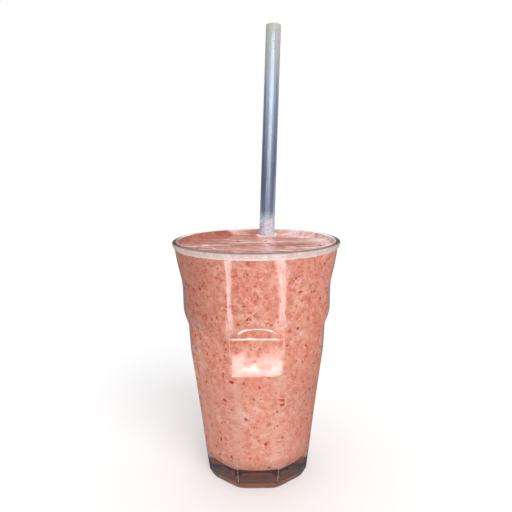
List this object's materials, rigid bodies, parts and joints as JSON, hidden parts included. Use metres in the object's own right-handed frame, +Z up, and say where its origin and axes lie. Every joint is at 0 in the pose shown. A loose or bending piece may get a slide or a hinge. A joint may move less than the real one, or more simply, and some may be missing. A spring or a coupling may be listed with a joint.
{
  "type": "fruit smoothie",
  "caption": "Pink fruit smoothie with red pulp flecks in a clear faceted tumbler with a flared rim, with a clear straight straw standing at the back.",
  "frame": {"origin": "centre of the tumbler's foot, on the surface it stands on", "axes": "+Z up, -Y towards the middle of one panel (the front), +Y towards the straw, +X to the right seen from the front"},
  "size_m": [0.088, 0.0933, 0.2439],
  "materials": {
    "glass": "clear pressed glass",
    "smoothie": "wet, opaque, mottled, with red flecks",
    "straw": "clear, slightly grey-blue",
    "froth": "pale froth"
  },
  "bodies": {
    "root": {"tumbler": "glass", "smoothie": "smoothie", "straw": "straw", "smoothie_in_straw": "froth"}
  },
  "joints": []
}
